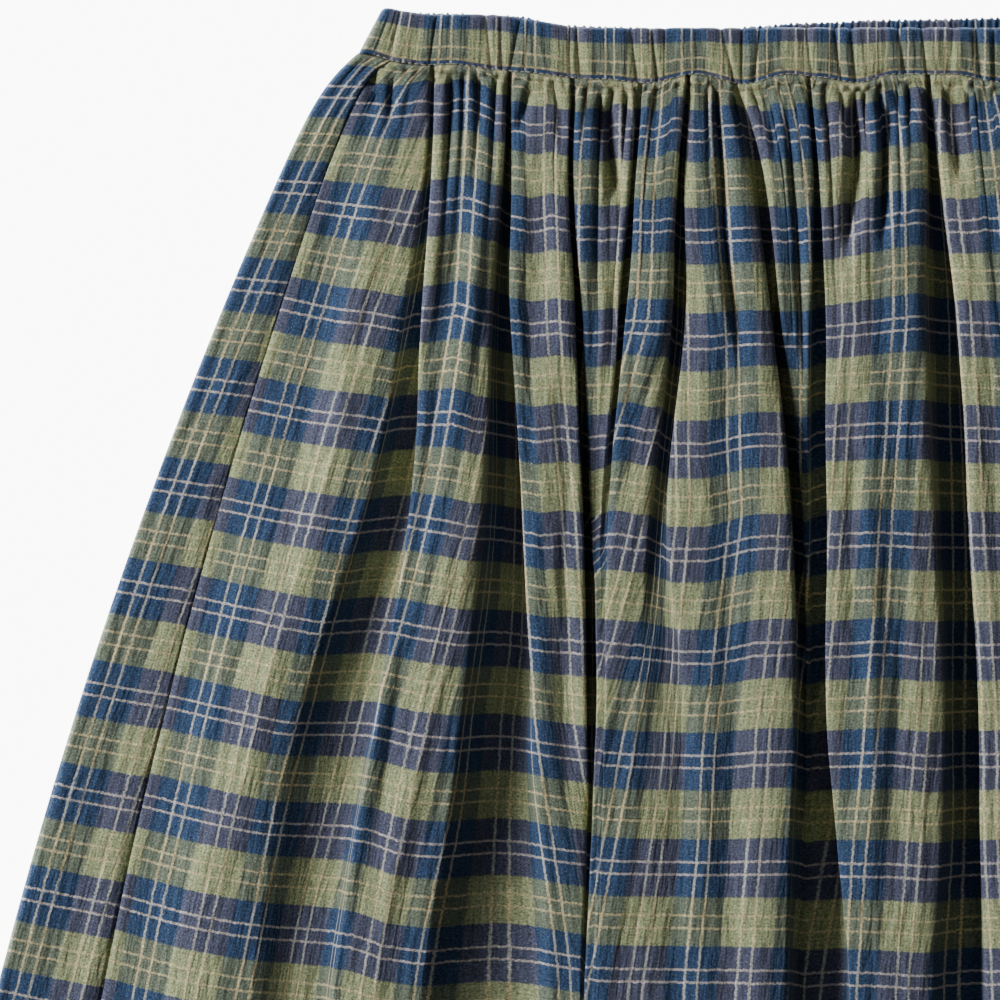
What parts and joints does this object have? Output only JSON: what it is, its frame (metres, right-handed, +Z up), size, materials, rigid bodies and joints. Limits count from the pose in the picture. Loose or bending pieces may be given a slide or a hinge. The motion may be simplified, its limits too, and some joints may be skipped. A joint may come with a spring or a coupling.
{
  "type": "gathered check skirt laid flat",
  "caption": "Full gathered skirt with an elastic waistband, lying flat on its back with deep soft pleats down the front panel.",
  "frame": {"origin": "centre of the skirt's outline on the surface it lies on", "axes": "+X across the front, +Y towards the waist, +Z up off the surface, through the back panel and out of the front"},
  "size_m": [0.7522, 0.728, 0.0216],
  "materials": {
    "check_flannel": "matte brushed cotton in a woven navy and green check"
  },
  "bodies": {
    "root": {"front_panel": "check_flannel", "back_panel": "check_flannel", "waistband": "check_flannel"}
  },
  "joints": []
}
